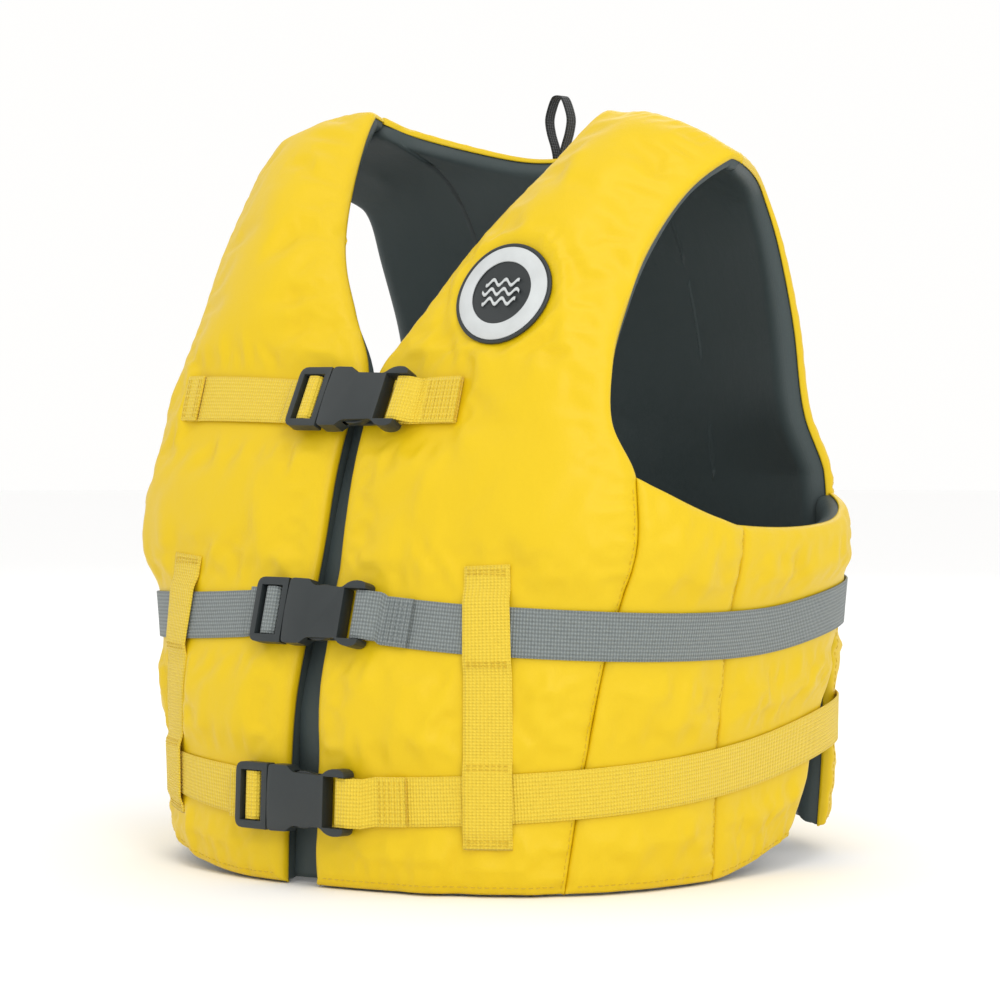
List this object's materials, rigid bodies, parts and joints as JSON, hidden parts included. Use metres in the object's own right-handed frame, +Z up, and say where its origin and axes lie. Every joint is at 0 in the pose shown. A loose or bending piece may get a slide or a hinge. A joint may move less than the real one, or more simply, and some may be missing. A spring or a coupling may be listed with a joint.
{
  "type": "life jacket",
  "caption": "Foam buoyancy vest with padded panels, belts in keepers, side release buckles, a round badge and a hanging loop.",
  "frame": {"origin": "under the middle of the whole vest, on the plane of the front hem", "axes": "+Z up to the shoulders, -Y out of the chest, +X to the wearer's left"},
  "size_m": [0.4466, 0.41, 0.5035],
  "materials": {
    "yellow_nylon": "coated plain weave nylon, satin",
    "dark_lining": "dark grey woven nylon, matt",
    "foam": "closed cell buoyancy foam, matt",
    "yellow_webbing": "ribbed polyester webbing, matt",
    "grey_webbing": "ribbed polyester webbing, matt",
    "black_webbing": "ribbon webbing, matt",
    "buckle_plastic": "moulded acetal, satin",
    "badge_rubber": "moulded soft rubber, satin"
  },
  "bodies": {
    "vest": {"back_cover": "yellow_nylon", "back_foam": "foam", "back_lining": "dark_lining", "badge": "badge_rubber", "chest_socket": "buckle_plastic", "chest_strap_left": "yellow_webbing", "chest_strap_right": "yellow_webbing", "front_left_cover": "yellow_nylon", "front_left_foam": "foam", "front_left_lining": "dark_lining", "front_right_cover": "yellow_nylon", "front_right_foam": "foam", "front_right_lining": "dark_lining", "hang_loop": "black_webbing", "keeper_back_left": "yellow_webbing", "keeper_back_right": "yellow_webbing", "keeper_front_left": "yellow_webbing", "keeper_front_right": "yellow_webbing", "lower_belt": "yellow_webbing", "lower_socket": "buckle_plastic", "side_front_left_cover": "yellow_nylon", "side_front_left_foam": "foam", "side_front_left_lining": "dark_lining", "side_front_right_cover": "yellow_nylon", "side_front_right_foam": "foam", "side_front_right_lining": "dark_lining", "side_rear_left_cover": "yellow_nylon", "side_rear_left_foam": "foam", "side_rear_left_lining": "dark_lining", "side_rear_right_cover": "yellow_nylon", "side_rear_right_foam": "foam", "side_rear_right_lining": "dark_lining", "waist_belt": "grey_webbing", "waist_socket": "buckle_plastic"},
    "chest_insert_body": {"chest_insert": "buckle_plastic", "chest_insert_webbing": "yellow_webbing"},
    "chest_upper_latch": {"chest_latch_upper": "buckle_plastic"},
    "chest_lower_latch": {"chest_latch_lower": "buckle_plastic"},
    "waist_insert_body": {"waist_insert": "buckle_plastic", "waist_insert_webbing": "grey_webbing"},
    "waist_upper_latch": {"waist_latch_upper": "buckle_plastic"},
    "waist_lower_latch": {"waist_latch_lower": "buckle_plastic"},
    "lower_insert_body": {"lower_insert": "buckle_plastic", "lower_insert_webbing": "yellow_webbing"},
    "lower_upper_latch": {"lower_latch_upper": "buckle_plastic"},
    "lower_lower_latch": {"lower_latch_lower": "buckle_plastic"}
  },
  "joints": [
    {"name": "chest_release", "type": "slide", "parent": "vest", "child": "chest_insert_body", "axis": [-1, 0, 0], "range_m": [0, 0.042], "deforming": ["chest_latch_upper", "chest_latch_lower"]},
    {"name": "chest_squeeze_upper", "type": "hinge", "parent": "chest_insert_body", "child": "chest_upper_latch", "pos_m": [-0.0163, -0.14013, 0.30869], "axis": [0, 0.8938, -0.4484], "range_deg": [0, 8], "stiffness_Nm_per_rad": 0.05},
    {"name": "chest_squeeze_lower", "type": "hinge", "parent": "chest_insert_body", "child": "chest_lower_latch", "pos_m": [-0.0163, -0.14999, 0.28903], "axis": [0, 0.8938, -0.4484], "range_deg": [-8, 0], "stiffness_Nm_per_rad": 0.05},
    {"name": "waist_release", "type": "slide", "parent": "vest", "child": "waist_insert_body", "axis": [-1, 0, 0], "range_m": [0, 0.042], "deforming": ["waist_latch_upper", "waist_latch_lower"]},
    {"name": "waist_squeeze_upper", "type": "hinge", "parent": "waist_insert_body", "child": "waist_upper_latch", "pos_m": [-0.0163, -0.17931, 0.17821], "axis": [0, 0.9676, -0.2523], "range_deg": [0, 8], "stiffness_Nm_per_rad": 0.05},
    {"name": "waist_squeeze_lower", "type": "hinge", "parent": "waist_insert_body", "child": "waist_lower_latch", "pos_m": [-0.0163, -0.18486, 0.15693], "axis": [0, 0.9676, -0.2523], "range_deg": [-8, 0], "stiffness_Nm_per_rad": 0.05},
    {"name": "lower_release", "type": "slide", "parent": "vest", "child": "lower_insert_body", "axis": [-1, 0, 0], "range_m": [0, 0.042], "deforming": ["lower_latch_upper", "lower_latch_lower"]},
    {"name": "lower_squeeze_upper", "type": "hinge", "parent": "lower_insert_body", "child": "lower_upper_latch", "pos_m": [-0.0163, -0.19848, 0.06525], "axis": [0, 0.9991, -0.043], "range_deg": [0, 8], "stiffness_Nm_per_rad": 0.05},
    {"name": "lower_squeeze_lower", "type": "hinge", "parent": "lower_insert_body", "child": "lower_lower_latch", "pos_m": [-0.0163, -0.19942, 0.04327], "axis": [0, 0.9991, -0.043], "range_deg": [-8, 0], "stiffness_Nm_per_rad": 0.05}
  ],
  "couplings": [
    {"joint": "chest_squeeze_lower", "follows": "chest_squeeze_upper", "ratio": -1},
    {"joint": "waist_squeeze_lower", "follows": "waist_squeeze_upper", "ratio": -1},
    {"joint": "lower_squeeze_lower", "follows": "lower_squeeze_upper", "ratio": -1}
  ]
}
